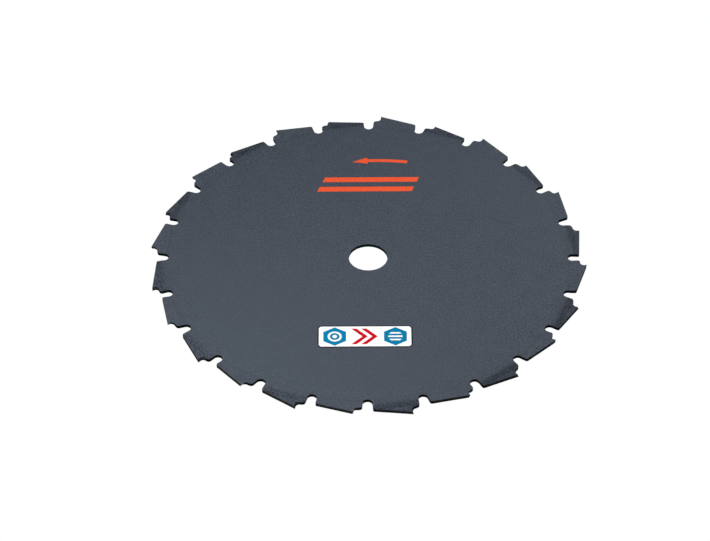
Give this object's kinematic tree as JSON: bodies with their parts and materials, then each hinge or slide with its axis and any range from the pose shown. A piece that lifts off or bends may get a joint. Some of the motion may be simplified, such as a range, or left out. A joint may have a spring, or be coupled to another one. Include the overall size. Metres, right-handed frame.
{
  "type": "brush cutter blade",
  "caption": "Flat round steel blade with a central bore and chisel teeth set to alternate sides, for a brush cutter.",
  "frame": {"origin": "centre of the bore, in the middle of the plate's thickness", "axes": "+Z along the bore axis, out of the face that carries the rotation arrow and label; +X through the cutting corner of a tooth that is set up, towards +Z. Seen from +Z the blade turns anticlockwise."},
  "size_m": [0.225, 0.225, 0.0038],
  "materials": {
    "blade_paint": "satin",
    "label_film": "satin",
    "arrow_print": "satin"
  },
  "bodies": {
    "root": {"blade": "blade_paint"}
  },
  "joints": []
}
